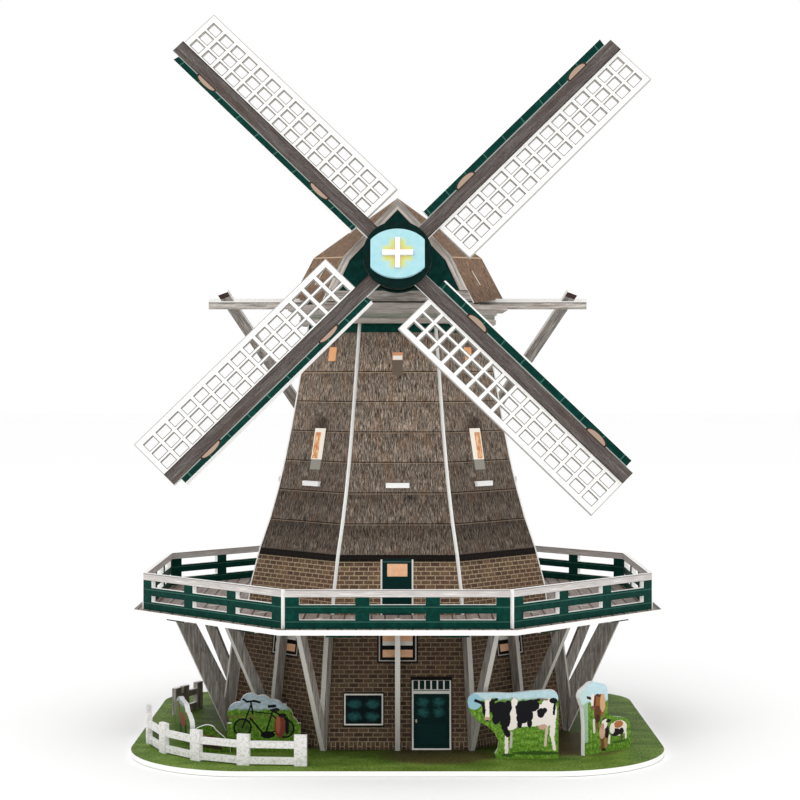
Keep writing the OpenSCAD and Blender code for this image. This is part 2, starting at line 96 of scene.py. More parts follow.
class Print:  # a printed face in board millimetres: u across, v up
    def __init__(self, name):
        self.mat = bpy.data.materials.new(name)
        self.mat.use_nodes = True
        self.tree = self.mat.node_tree
        self.bsdf = self.tree.nodes["Principled BSDF"]
        root = Sock(self.tree, None)
        uv = root.add("UVMap", {"uv_map": "print"})
        split = root.add("SeparateXYZ", i0=Sock(self.tree, uv.outputs[0]))
        self.u, self.v = Sock(self.tree, split.outputs[0]), Sock(self.tree, split.outputs[1])
        self.root = root

    def vec(self, x, y, z=0.0):
        return self.root.wrap(self.root.add("CombineXYZ", X=x, Y=y, Z=z))

    def noise(self, x, y, detail=3.0, rough=0.6, seed=0.0):
        at = self.vec(x, y, seed)
        n = self.root.add("TexNoise", Vector=at, Scale=1.0, Detail=detail, Roughness=rough)
        return Sock(self.tree, n.outputs[0])

    def mix(self, amount, a, b):
        n = self.root.add("Mix", {"data_type": "RGBA"}, i0=amount, i6=a, i7=b)
        return Sock(self.tree, n.outputs[2])

    def times(self, colour, amount):  # darkens or lightens a colour
        grey = self.vec(amount, amount, amount)
        n = self.root.add("VectorMath", {"operation": "MULTIPLY"}, i0=colour, i1=grey)
        return Sock(self.tree, n.outputs[0])

    def ramp(self, value, stops):
        n = self.root.add("ValToRGB", i0=value)
        ramp = n.color_ramp
        while len(ramp.elements) < len(stops):
            ramp.elements.new(0.5)
        for e, (place, colour) in zip(ramp.elements, stops):
            e.position, e.color = place, colour
        return Sock(self.tree, n.outputs[0])

    def box(self, x0, x1, y0, y1, u=None, v=None):
        u, v = u or self.u, v or self.v
        return (u > x0) * (u < x1) * (v > y0) * (v < y1)

    def oval(self, x, y, rx, ry, u=None, v=None):
        dx, dy = ((u or self.u) - x) / rx, ((v or self.v) - y) / ry
        return (dx * dx + dy * dy) < 1.0

    def line(self, x0, y0, x1, y1, r, u=None, v=None):
        u, v = u or self.u, v or self.v
        dx, dy = x1 - x0, y1 - y0
        t = ((u - x0) * dx + (v - y0) * dy) / (dx * dx + dy * dy + 1e-6)
        t = self.root.math("MINIMUM", self.root.math("MAXIMUM", t, 0.0), 1.0)
        px, py = u - (t * dx + x0), v - (t * dy + y0)
        return (px * px + py * py) < r * r

    def finish(self, colour, height=None, rough=0.5, depth=0.0001):
        self.tree.links.new(colour.out, self.bsdf.inputs["Base Color"])
        if isinstance(rough, Sock):
            self.tree.links.new(rough.out, self.bsdf.inputs["Roughness"])
        else:
            self.bsdf.inputs["Roughness"].default_value = rough
        if height is not None:
            bump = self.root.add("Bump", Height=height, Distance=depth, Strength=bumpStrength)
            self.tree.links.new(bump.outputs[0], self.bsdf.inputs["Normal"])
        self.bsdf.inputs["Specular IOR Level"].default_value = matt
        return self.mat


def thatch(p, u, v, seed=0.0):  # combed reed, strands running down the board
    wob = p.noise(u * 0.12, v * 0.12, 2.0, 0.5, seed + 3) * 3.0
    strand = p.noise((u + wob) * 1.9, v * 0.17, 4.0, 0.75, seed)
    fine = p.noise((u + wob) * 3.6, v * 0.5, 2.0, 0.6, seed + 9)
    value = strand * 0.6 + fine * 0.4
    base = p.ramp(value, [
        (0.36, rgb(18, 15, 12)), (0.44, rgb(66, 58, 51)),
        (0.52, rgb(122, 109, 97)), (0.61, rgb(186, 169, 152)),
    ])
    clump = p.noise(u * 0.4, v * 0.16, 3.0, 0.7, seed + 15).soft(0.5, 0.68)
    base = p.times(base, 1.0 - clump * 0.45)
    warm = p.noise(u * 0.16, v * 0.07, 3.0, 0.6, seed + 5).soft(0.45, 0.75)
    cool = p.noise(u * 0.5, v * 0.1, 3.0, 0.6, seed + 7).soft(0.5, 0.7)
    base = p.mix(warm * 0.35, base, rgb(128, 90, 62))
    return p.mix(cool * 0.25, base, rgb(96, 104, 104)), value


bricks = {"long": 4.6, "course": 2.1, "joint": 0.24}


def brickwork(p, u, v, light=1.0):  # returns the colour and where the mortar is
    jig = p.noise(u * 0.5, v * 0.5, 2.0, 0.5, 2.0) * 0.5
    tex = p.root.add(
        "TexBrick", {"offset": 0.5}, Vector=p.vec(u + jig, v + jig * 0.3), Scale=1.0,
        Brick_Width=bricks["long"], Row_Height=bricks["course"],
        Mortar_Size=bricks["joint"], Mortar_Smooth=0.4,
        Color1=rgb(62, 46, 40), Color2=rgb(92, 74, 56), Mortar=rgb(134, 122, 98),
    )
    colour, mortar = Sock(p.tree, tex.outputs[0]), Sock(p.tree, tex.outputs[1])
    patch = p.noise(u * 0.22, v * 0.45, 3.0, 0.7, 4.0)
    colour = p.mix(patch.soft(0.45, 0.7) * 0.55 * (1.0 - mortar), colour, rgb(44, 34, 30))
    warm = p.noise(u * 0.07, v * 0.06, 2.0, 0.5, 6.0).soft(0.4, 0.7)
    colour = p.mix(warm * 0.25, colour, rgb(104, 72, 60))
    shade = p.noise(u * 1.9, v * 1.9, 4.0, 0.8, 1.0).soft(0.3, 0.7) * 1.15 + 0.42
    return p.times(colour, shade * light), mortar


def timber(p, along, across, light=1.0, seed=0.0):  # weathered grey wood
    grain = p.noise(along * 0.1, across * 1.6, 4.0, 0.7, seed)
    streak = p.noise(along * 0.03, across * 0.5, 3.0, 0.6, seed + 4)
    value = grain * 0.6 + streak * 0.4
    wood = p.ramp(value, [
        (0.33, rgb(66, 60, 56)), (0.46, rgb(122, 117, 112)),
        (0.56, rgb(156, 151, 145)), (0.68, rgb(212, 208, 202)),
    ])
    warm = p.noise(along * 0.04, across * 0.2, 2.0, 0.5, seed + 8).soft(0.45, 0.7) * 0.35
    return p.times(p.mix(warm * 0.7, wood, rgb(134, 114, 100)), light), value


def paint(p, u, v, colour, worn, seed=0.0):  # painted wood and where it is worn
    wear = p.noise(u * 0.3, v * 0.3, 4.0, 0.65, seed)
    return p.mix(wear.soft(0.4, 0.75) * 0.6, colour, worn), wear


print("materials")
frameWhite = rgb(222, 219, 212)
orange, orangeLight = rgb(222, 158, 116), rgb(246, 206, 168)

p = Print("foamEdge")
pore = p.noise(p.u * 3.0, p.v * 3.0, 3.0, 0.6)
foam = p.finish(p.mix(pore * 0.35, rgb(250, 250, 248), rgb(226, 226, 222)), pore, 0.75, 0.00008)


def reflection(p, colour, x, z, rx, rz):  # soft sky in a dark pane
    blot = p.noise(p.u * 0.5, p.v * 0.7, 3.0, 0.7, 5.0)
    glow = 1.0 - (((p.u - x) / rx) ** 2.0 + ((p.v - z) / rz) ** 2.0)
    return p.mix((glow + (blot - 0.5) * 2.0).soft(0.0, 1.3) * 0.45, colour, rgb(58, 130, 128))


topWindow = {"half": 9.0, "foot": 44.2, "head": 70, "paneHalf": 7.2, "bar": (51.1, 53.1)}
topPanes = ((45.6, 49.1), (53.1, 59.6))
sideWindow = {"left": -25.5, "right": -6.9, "foot": 13.8, "head": 28.5, "trim": 0.7}
sidePanes = {"across": (-20.6, -12.0), "up": (17.9, 23.6), "wide": 4.4, "tall": 2.7}
door = {
    "left": 6.8, "right": 25.5, "foot": 2, "head": 34.8, "trim": 0.7,
    "light": (30.6, 34.7), "bars": (10.2, 13.1, 16.0, 19.0, 22.1), "barHalf": 0.35,
    "across": (12.2, 19.6), "up": (19.8, 24.6), "wide": 3.6, "tall": 2.8,
}


def topWindowPrint(p, colour):  # the window right under the deck, on every lower wall
    half, foot, head = topWindow["half"], topWindow["foot"], topWindow["head"]
    colour = p.mix(p.box(-half - 0.8, half + 0.8, foot - 1.4, head), colour, rgb(26, 22, 20))
    colour = p.mix(p.box(-half, half, foot - 0.5, head), colour, rgb(184, 180, 172))
    colour = p.mix(p.box(-half + 0.6, half - 0.6, foot, head), colour, rgb(14, 16, 16))
    pane = p.mix(p.noise(p.u * 0.3, p.v * 0.5, 2.0), orangeLight, orange)
    wide = topWindow["paneHalf"]
    for low, high in topPanes:
        colour = p.mix(p.box(-wide, wide, low, high), colour, pane)
    return p.mix(p.box(-wide, wide, *topWindow["bar"]), colour, frameWhite)


def sideWindowPrint(p, colour):  # the dark window left of the door
    left, right = sideWindow["left"], sideWindow["right"]
    foot, head, trim = sideWindow["foot"], sideWindow["head"], sideWindow["trim"]
    colour = p.mix(p.box(left - 0.6, right + 0.6, foot - 1, head + 0.8), colour, rgb(22, 20, 18))
    colour = p.mix(p.box(left, right, foot, head), colour, frameWhite)
    glass = p.box(left + trim, right - trim, foot + trim, head - trim)
    colour = p.mix(glass, colour, rgb(3, 20, 24))
    for x in sidePanes["across"]:
        for z in sidePanes["up"]:
            colour = reflection(p, colour, x, z, sidePanes["wide"], sidePanes["tall"])
    return colour


def doorPrint(p, colour):
    left, right, foot, head = door["left"], door["right"], door["foot"], door["head"]
    inLeft, inRight = left + door["trim"], right - door["trim"]
    low, high = door["light"]
    colour = p.mix(p.box(left - 0.6, right + 0.6, foot, head + 1.8), colour, rgb(18, 16, 14))
    colour = p.mix(p.box(left, right, foot, head), colour, frameWhite)
    colour = p.mix(p.box(inLeft, inRight, low, high), colour, rgb(10, 34, 34))
    for x in door["bars"]:
        colour = p.mix(p.box(x - door["barHalf"], x + door["barHalf"], low, high), colour, frameWhite)
    colour = p.mix(p.box(inLeft, inRight, 29.8, 30.4), colour, rgb(120, 128, 122))
    colour = p.mix(p.box(7.6, 24.7, 3.1, 28.5), colour, rgb(2, 34, 33))
    for x in door["across"]:
        for z in door["up"]:
            colour = reflection(p, colour, x, z, door["wide"], door["tall"])
    colour = p.mix(p.box(9.6, 22.8, 5.2, 14.6) * 0.3, colour, rgb(6, 52, 48))
    return p.mix(p.oval(8.9, 15.8, 0.5, 0.9), colour, rgb(170, 168, 150))


def lowerWall(front):
    p = Print("brickFront" if front else "brickSide")
    u, v = p.u, p.v
    colour, mortar = brickwork(p, u, v)
    onEnd = brickwork(p, v + 0.4, u)[0]  # one row of bricks on end along the foot
    colour = p.mix(v < 6.0, colour, p.times(onEnd, 1.15))
    # painted shade along the foot of the wall, darkest where it meets the base
    colour = p.times(colour, 1.0 - 0.45 * p.root.math("MAXIMUM", 0.0, 1.0 - v.soft(2.4, 5.0)))
    colour = topWindowPrint(p, colour)
    if front:
        colour = doorPrint(p, sideWindowPrint(p, colour))
    return p.finish(colour, mortar * -1.0, 0.5, 0.00006)


courses = {"foot": 93.26, "rise": 14.79, "last": 6.97}  # the top course is taller
skirt = {"low": 90.6, "head": 93.4}  # painted shadow band under the thatch, between the brick and the thatch
friezeFoot = 201.7


def upperWall(front, slanted):
    p = Print("thatchFront" if front else "thatchSide" + ("Tall" if slanted else ""))
    u, v = p.u, p.v
    reed, value = thatch(p, u, v, 1.0 if front else 5.0)
    step = p.root.math("MINIMUM", (v - courses["foot"]) / courses["rise"], courses["last"])
    rise = p.root.math("FRACT", step)  # how far up its own course
    ragged = p.noise(u * 1.2, v * 0.1, 2.0, 0.5, 12.0) * 0.03
    # painted shade: each course is lighter at its foot and darkens towards its top, under the course above,
    # more so lower down the wall
    courseShade = 0.28 + (1.0 - v.soft(96, 150)) * 0.3
    reed = p.times(reed, 1.2 - (rise + ragged * 5.0 - 0.1).soft(0.1, 1.0) * courseShade)
    reed = p.times(reed, (0.52 if slanted else 0.66) + v.soft(96, 185) * 0.54)
    line = ((rise + ragged) < 0.05) * (v < 190)
    reed = p.mix(line * 0.85, reed, rgb(20, 16, 14))
    under = ((rise + ragged) > 0.985) * (v < 190)
    reed = p.mix(under * (0.3 + v.soft(150, 185) * 0.4), reed, rgb(178, 152, 124))
    brick = brickwork(p, u, v, 1.75)[0]
    # painted shade: the brick darkens towards the thatch above it
    brick = p.times(brick, 1.0 - v.soft(87.5, 92.6) * 0.6)
    colour = p.mix(v > skirt["head"], brick, reed)
    # painted shadow band under the foot of the thatch
    thatchShadow = p.box(-60, 60, skirt["low"], skirt["head"] + 0.1)
    colour = p.mix(thatchShadow * 0.93, colour, rgb(12, 10, 10))
    frieze = paint(p, u, v, rgb(4, 50, 42), rgb(16, 84, 70), 2.0)[0]
    colour = p.mix(v > friezeFoot, colour, frieze)
    pane = p.mix(p.noise(u * 0.4, v * 0.4), orangeLight, orange)
    if front:
        colour = p.mix(p.box(-8.2, 7.6, 60, 91.6), colour, frameWhite)
        colour = p.mix(p.box(-7.4, 6.8, 60, 91.8), colour, rgb(2, 38, 36))
        colour = p.mix(p.box(-7.0, 6.4, 90.2, 90.8), colour, rgb(60, 84, 78))
        colour = p.mix(p.box(-5.0, 4.7, 83.6, 89.5), colour, pane)
        colour = p.mix(p.box(-2.6, 2.6, 180.4, 188), colour, rgb(112, 98, 86))
        colour = p.mix(p.box(-2.6, 2.6, 188, 191.8), colour, orange)
        colour = p.mix(p.box(-2.3, 2.3, 188.1, 190.2), colour, rgb(250, 244, 234))
    else:
        colour = p.mix(p.box(-0.6, 4.6, 187.6, 194.5), colour, rgb(232, 170, 120))
    if slanted:  # tall dormer window over a sill, printed on the diagonal walls
        # painted shade in the thatch round the head of the dormer window
        dormerShade = 1.0 - ((u / 9.0) ** 2.0 + ((v - 155.0) / 7.0) ** 2.0)
        dormerShade = (dormerShade + (p.noise(u * 1.1, v * 0.2, 3.0, 0.7, 31.0) - 0.5) * 2.6).soft(0.0, 1.1)
        colour = p.mix(dormerShade * 0.75, colour, rgb(34, 18, 14))
        colour = p.mix(p.box(-3.9, 3.9, 138.6, 154.0), colour, rgb(250, 242, 228))
        inner = p.box(-0.6, 3.3, 139.0, 152.0) if slanted > 0 else p.box(-3.3, 0.8, 139.0, 152.0)
        glass = p.noise(u * 0.6, v * 0.3, 3.0, 0.7, 3.0).soft(0.35, 0.6)
        colour = p.mix(inner, colour, p.mix(glass, rgb(250, 214, 168), rgb(208, 130, 78)))
        colour = p.mix(p.box(-4.2, 4.2, 133.0, 138.6), colour, rgb(96, 92, 84))
        colour = p.mix(p.box(-3.6, 3.6, 133.6, 138.6), colour, rgb(150, 147, 138))
    return p.finish(colour, value + (1.0 - line), 0.6, 0.00012)


def grassPrint():
    p = Print("grass")
    u, v = p.u, p.v
    blade = p.noise(u * 0.9, v * 1.3, 4.0, 0.75, 1.0)
    patch = p.noise(u * 0.05, v * 0.08, 3.0, 0.6, 2.0)
    colour = p.ramp(blade * 0.7 + patch * 0.3, [
        (0.34, rgb(34, 56, 12)), (0.46, rgb(72, 100, 30)),
        (0.55, rgb(108, 136, 52)), (0.68, rgb(176, 190, 116)),
    ])
    frontEdge = 1.0 - v.soft(-126, -112)
    colour = p.mix(frontEdge * blade.soft(0.4, 0.65) * 0.3, colour, rgb(156, 178, 86))
    wob = p.noise(u * 0.06, v * 0.06, 3.0, 0.6, 7.0) * 14.0
    mud = p.mix(blade.soft(0.35, 0.65), rgb(40, 32, 20), rgb(118, 94, 66))
    path = 1.0 - (((u + wob - 26) / 26) ** 2.0 + ((v + 98) / 20) ** 2.0)
    colour = p.mix(path.soft(-0.3, 0.5) * 0.75, colour, mud)
    side = 1.0 - (((u + wob - 92) / 26) ** 2.0 + ((v + 66 + wob * 0.4) / 30) ** 2.0)
    colour = p.mix(side.soft(-0.3, 0.4) * 0.85, colour, mud)
    # painted shade: the grass darkens towards the tower, under the deck
    ring = (u * u + v * v) ** 0.5
    colour = p.times(colour, 0.35 + ring.soft(80, 126) * 0.68)
    return p.finish(colour, blade, 0.6, 0.00015)


def plain(name, maker, rough=0.5, depth=0.0001):
    p = Print(name)
    colour, height = maker(p)
    return p.finish(colour, height, rough, depth)


def railingPrint(p):
    u, v = p.u, p.v
    dark, wear = paint(p, u, v, rgb(2, 50, 42), rgb(6, 78, 66), 1.0)
    wood, grain = timber(p, u, v, 1.45, 3.0)
    colour = p.mix(v > 79.9, dark, p.mix(0.4, wood, rgb(240, 236, 234)))
    for z in (68.7, 75.4):  # faint light edge of a printed board
        colour = p.mix(p.box(-60, 60, z - 0.2, z + 0.2) * 0.35, colour, rgb(90, 140, 124))
    colour = p.mix((v > 82.8) * 0.6, colour, rgb(84, 74, 72))
    for z in (69.2, 72.9):
        colour = p.mix(p.box(-60, 60, z - 0.12, z + 0.12) * 0.4, colour, rgb(2, 26, 24))
    return colour, wear + grain * 0.3


def deckPrint(p):
    u, v = p.u, p.v
    wood, grain = timber(p, v, u, 1.1, 6.0)
    wood = p.mix(0.4, wood, rgb(150, 126, 118))
    plank = p.root.math("FRACT", u / 6.4)
    return p.mix((plank < 0.13) * 0.85, wood, rgb(44, 28, 28)), grain


def gablePrint(p):
    u, v = p.u, p.v
    side = p.root.math("ABSOLUTE", u)
    dark = paint(p, u, v, rgb(3, 46, 42), rgb(14, 76, 68), 4.0)[0]
    wood, grain = timber(p, u, v, 1.5, 9.0)
    slope = (267.3 - v) * 0.946 - side  # across from the upper slopes
    lower = (239.2 - v) * 0.462 + 26.6 - side
    edge = p.root.math("MINIMUM", slope * 0.72, lower * 0.9)
    trim = timber(p, v, edge, 1.9, 12.0)[0]
    colour = p.mix(edge < 3.8, dark, trim)
    colour = p.mix(v < 222.4, colour, wood)
    colour = p.mix(p.box(-40, 40, 221.9, 222.4) * 0.7, colour, rgb(52, 48, 46))
    colour = p.mix(p.box(-40, 40, 216.3, 216.9), colour, rgb(40, 36, 34))
    colour = p.mix(((edge > 3.6) * (edge < 4.1)) * (v > 222), colour, rgb(16, 22, 20))
    for x in (-10.6, 10.2):
        colour = p.mix(p.oval(x, 224.8, 1.4, 1.0), colour, rgb(34, 24, 22))
    return colour, grain


def curbPrint(tint):
    def maker(p):
        wood, grain = timber(p, p.u, p.v, 1.6, 14.0)
        return p.mix(0.45, wood, tint), grain
    return maker


def stockPrint(p):
    u, v = p.u, p.v  # u out from the shaft, v across
    wood, grain = timber(p, u, v, 0.5, 17.0)
    wood = p.mix(0.4, wood, rgb(74, 58, 56))
    speck = p.noise(u * 1.2, v * 1.2, 3.0, 0.8, 3.0).soft(0.35, 0.65)
    wood = p.times(wood, 0.72 + speck * 0.5)
    wood = p.mix(((v > -3.9) * (v < -3.3)) * 0.7, wood, rgb(34, 28, 26))
    dark = paint(p, u, v, rgb(2, 48, 42), rgb(8, 76, 66), 8.0)[0]
    colour = p.mix(v > 3.45, wood, dark)
    colour = p.mix(p.box(0, 200, 3.0, 3.5) * 0.8, colour, rgb(168, 176, 168))
    rung = p.root.math("FRACT", u / 13.0)
    colour = p.mix((v > 3.5) * (rung < 0.045) * 0.35, colour, rgb(96, 150, 134))
    for r in (50, 128):  # brown cleats, rounded at both ends
        # each cleat gets a dark rim of painted shade, widest on its wood side, round its lighter face
        tip = 1.0 - (((u - r) / 6.4) ** 2.0 + ((v - 3.3) / 2.1) ** 2.0)
        colour = p.mix((tip > 0.0) * (v > 2.4), colour, rgb(62, 46, 38))
        colour = p.mix((tip > 0.28) * (v > 2.9), colour, rgb(176, 152, 134))
    return colour, grain


gridLines = {  # openings of the lattice in its own millimetres
    "u0": 27.70, "u1": 148.60, "uStep": 8.213, "uOpen": 5.913,
    "v0": -21.2, "v1": -5.2, "vStep": 5.867, "vOpen": 4.267, "ink": 0.32,
}


def latticePrint(p):
    u, v = p.u, p.v
    speck = p.noise(u * 1.1, v * 1.1, 4.0, 0.7, 2.0)
    colour = p.mix(speck.soft(0.45, 0.75) * 0.5, rgb(244, 243, 240), rgb(196, 194, 188))
    g = gridLines
    near = p.root.math("FRACT", (u - g["u0"]) / g["uStep"]) * g["uStep"]  # 0 where an opening starts
    across = p.root.math("FRACT", (v - g["v0"]) / g["vStep"]) * g["vStep"]
    longWay = (near < g["uOpen"] + g["ink"]) + (near > g["uStep"] - g["ink"])
    shortWay = (across < g["vOpen"] + g["ink"]) + (across > g["vStep"] - g["ink"])
    inside = p.box(g["u0"] - g["ink"], g["u1"] + g["ink"], g["v0"] - g["ink"], g["v1"] + g["ink"])
    colour = p.mix(inside * longWay * shortWay * 0.85, colour, rgb(66, 62, 56))
    rim = 1.0 - p.box(24.9, 151.4, -24.1, 90)
    return p.mix(rim * 0.6, colour, rgb(112, 108, 104)), speck


def hubPrint(p):
    return paint(p, p.u, p.v, rgb(3, 28, 26), rgb(6, 48, 42), 5.0)


def hubEdgePrint(p):
    dark, wear = hubPrint(p)
    return p.mix(p.box(-99, 99, 5.9, 6.3) * 0.7, dark, rgb(158, 138, 104)), wear


def bluePrint(p):
    u, v = p.u, p.v
    far = (u * u + v * v) ** 0.5
    wash = p.noise(u * 0.3, v * 0.3, 3.0, 0.6, 1.0)
    colour = p.mix(wash, rgb(140, 204, 214), rgb(194, 224, 228))
    star = p.root.math("ABSOLUTE", p.root.math("SINE", p.root.math("ARCTAN2", v, u) * 4.0))
    reach = 6.2 + star * 3.4
    colour = p.mix((1.0 - (far / reach).soft(0.55, 1.0)) * 0.85, colour, rgb(224, 216, 96))
    colour = p.mix((1.0 - far.soft(2.0, 5.0)) * 0.7, colour, rgb(236, 196, 150))
    return colour, wash


def roofPrint(p):  # u along the knee, v up the slope from it
    u, v = p.u, p.v
    reed, value = thatch(p, u, v, 21.0)
    browner = p.ramp(value, [
        (0.38, rgb(44, 28, 16)), (0.5, rgb(112, 80, 54)), (0.6, rgb(190, 152, 118)),
    ])
    colour = p.mix(0.7, reed, browner)
    colour = p.times(colour, 1.0 - (1.0 - v.soft(-24, -8)) * 0.25)
    slot = p.line(24.6, -8.0, 27.2, -15.2, 0.5)  # small pale slot in the lower slope
    colour = p.mix(slot, colour, rgb(238, 232, 222))
    return p.mix(p.box(-9, 90, -0.35, 0.35) * 0.8, colour, rgb(206, 178, 148)), value


def fencePrint(p):
    u, v = p.u, p.v
    speck = p.noise(u * 0.8, v * 0.8, 4.0, 0.7, 1.0)
    colour = p.mix(speck.soft(0.42, 0.72) * 0.6, rgb(236, 234, 232), rgb(160, 154, 150))
    moss = p.noise(u * 0.2, v * 0.3, 2.0, 0.6, 5.0).soft(0.5, 0.7) * (1.0 - v.soft(2.4, 7.0))
    return p.mix(moss * 0.5, colour, rgb(120, 130, 96)), speck


def plankPrint(p):
    return timber(p, p.v, p.u, 1.25, 22.0)


def beamPrint(p):
    colour, grain = timber(p, p.u, p.v, 1.75, 27.0)
    colour = p.mix(p.v > 217.9, colour, rgb(240, 238, 235))
    colour = p.mix(p.box(-99, 99, 217.4, 217.9) * 0.8, colour, rgb(70, 66, 62))
    return p.mix(p.box(-99, 99, 214.2, 214.7) * 0.5, colour, rgb(90, 86, 80)), grain


def bracePrint(p):
    colour, grain = timber(p, p.u, p.v, 1.2, 33.0)
    return p.mix((p.u < 3.0) * 0.9, colour, rgb(58, 34, 30)), grain


def drawn(p, colour, shapes, u, v):  # paints ovals and strokes in turn
    for shape in shapes:
        mask = p.oval(*shape[1:5], u, v) if shape[0] == "oval" else p.line(*shape[1:6], u, v)
        colour = p.mix(mask, colour, rgb(*shape[-1]))
    return colour


def meadow(p, sky, top):  # figure boards: grass below, a pale halo on top
    u, v = p.u, p.v
    blade = p.noise(u * 0.8, v * 0.6, 4.0, 0.75, 3.0)
    grass = p.ramp(blade, [(0.32, rgb(48, 82, 18)), (0.5, rgb(92, 136, 40)), (0.68, rgb(150, 182, 84))])
    wob = p.noise(u * 0.3, v * 0.3, 2.0, 0.5, 2.0) * 3.0
    halo = p.mix(p.noise(u * 0.4, v * 0.6, 2.0), sky, rgb(214, 232, 236))
    return p.mix((v + wob - 1.5).soft(top - 0.8, top + 0.8), grass, halo), blade


def warped(p, amount):
    du = (p.noise(p.u * 0.7, p.v * 0.7, 3.0, 0.6, 41.0) - 0.5) * amount * 2
    dv = (p.noise(p.u * 0.7, p.v * 0.7, 3.0, 0.6, 47.0) - 0.5) * amount * 2
    return p.u + du, p.v + dv


def cowPrint(p):
    black, white, pink = (24, 24, 28), (236, 228, 220), (196, 158, 140)
    colour, blade = meadow(p, rgb(150, 190, 204), 27.6)
    colour = p.mix(p.oval(3.2, 26.4, 3.6, 3.6), colour, rgb(150, 192, 206))
    u, v = warped(p, 0.55)
    shapes = [
        ("oval", 18.9, 1.6, 3.0, 0.8, (58, 88, 34)), ("oval", 32, 2.6, 11, 0.9, (54, 84, 30)),
        ("line", 20.6, 12, 20.2, 5.4, 0.55, (190, 184, 172)), ("line", 18.4, 13, 18.2, 3.0, 0.85, white),
        ("line", 37.2, 16, 36.2, 6.2, 0.6, (206, 188, 170)), ("line", 40.0, 18, 39.4, 11, 1.2, white),
        ("line", 39.4, 11, 40.6, 4.4, 0.75, white), ("oval", 34.8, 15.2, 1.9, 1.7, pink),
        ("oval", 27.0, 20.4, 13.6, 5.6, white), ("oval", 37.8, 21.6, 3.9, 6.4, white),
        ("oval", 20.0, 17.2, 4.0, 4.0, white), ("line", 17.0, 15.0, 18.8, 11.2, 1.3, black),
        ("oval", 15.6, 22.2, 4.3, 4.4, black), ("oval", 17.6, 18.4, 2.6, 4.4, black),
        ("oval", 19.0, 24.0, 1.9, 3.0, black), ("oval", 13.4, 18.4, 1.8, 2.6, black),
        ("oval", 26.0, 23.0, 3.9, 4.0, black), ("oval", 29.8, 24.6, 3.8, 2.8, black),
        ("oval", 25.6, 18.8, 2.8, 2.6, black), ("oval", 24.4, 16.0, 1.2, 1.9, black),
        ("oval", 29.0, 16.4, 1.2, 1.9, black), ("oval", 28.8, 20.0, 1.9, 2.6, black),
        ("oval", 34.2, 21.2, 1.8, 2.2, black), ("oval", 36.0, 22.4, 1.2, 1.2, black),
        ("oval", 40.0, 27.0, 1.8, 1.3, black), ("line", 40.8, 26.4, 40.2, 20.8, 0.55, black),
        ("line", 37.4, 27.4, 33.0, 27.8, 0.4, (120, 108, 100)), ("oval", 32.6, 27.2, 1.4, 0.6, black),
        ("oval", 22.0, 26.2, 1.5, 1.9, white), ("oval", 21.8, 21.4, 0.9, 3.2, white),
        ("oval", 11.4, 24.4, 1.6, 3.0, black), ("line", 7.4, 25.8, 7.9, 21.2, 0.75, black),
        ("line", 3.9, 26.9, 6.6, 25.9, 0.7, black), ("line", 11.4, 26.8, 13.6, 27.4, 0.7, black),
        ("line", 9.3, 26.4, 9.3, 19.4, 1.0, white), ("line", 10.4, 27.0, 10.6, 28.0, 0.4, (228, 214, 196)),
        ("line", 8.4, 22.6, 8.0, 20.4, 0.35, black), ("oval", 9.3, 18.4, 1.15, 1.0, pink),
        ("oval", 9.3, 17.7, 0.8, 0.4, black),
    ]
    return drawn(p, colour, shapes, u, v), blade


def bicyclePrint(p):
    black = (12, 14, 14)
    colour, blade = meadow(p, rgb(110, 130, 146), 19.5)
    bank = p.box(-2, 40, 15.0, 17.2) * p.noise(p.u * 0.4, p.v * 0.6, 3.0, 0.6, 8.0).soft(0.45, 0.6)
    colour = p.mix(bank * 0.7, colour, rgb(122, 96, 62))
    colour = p.times(colour, 0.7)
    u, v = warped(p, 0.2)
    for x, z, r in ((7.3, 11.0, 4.4), (27.4, 10.6, 4.6)):
        far = ((u - x) * (u - x) + (v - z) * (v - z)) ** 0.5
        colour = p.mix((far < r) * 0.45, colour, rgb(26, 30, 24))
        colour = p.mix((far < r) * (far > r - 0.8), colour, rgb(*black))
        spin = p.root.math("FRACT", p.root.math("ARCTAN2", v - z, u - x) * 2.228)
        colour = p.mix((far < r) * (spin < 0.14) * 0.7, colour, rgb(24, 26, 26))
    shapes = [
        ("line", 7.3, 11, 11.2, 21.5, 0.36, black), ("line", 11.0, 15.4, 17.2, 7.9, 0.42, black),
        ("line", 11.0, 18.6, 21.4, 17.6, 0.26, black), ("line", 21.8, 19.8, 18.2, 8.0, 0.36, black),
        ("line", 18.0, 8.0, 27.2, 10.6, 0.34, black), ("line", 21.6, 16.8, 27.4, 10.8, 0.34, black),
        ("line", 7.6, 24.4, 9.4, 23.2, 0.5, black), ("line", 9.4, 23.2, 12.6, 23.6, 0.45, black),
        ("line", 12.6, 23.6, 15.4, 23.0, 0.55, black), ("line", 11.2, 23.2, 12.2, 17.6, 0.4, black),
        ("line", 19.8, 21.0, 22.6, 21.2, 0.7, black), ("oval", 19.2, 7.6, 3.4, 1.7, (16, 18, 18)),
        ("line", 20.8, 19.4, 27.6, 15.6, 0.45, black), ("oval", 23.4, 19.4, 1.5, 0.9, (30, 28, 28)),
        ("oval", 25.0, 11.6, 2.6, 5.4, (112, 56, 44)), ("oval", 24.2, 12.4, 1.1, 4.2, (150, 84, 64)),
        ("oval", 26.2, 16.8, 2.0, 1.0, (26, 24, 24)), ("oval", 28.4, 12.0, 0.9, 4.2, (20, 20, 22)),
    ]
    return drawn(p, colour, shapes, u, v), blade


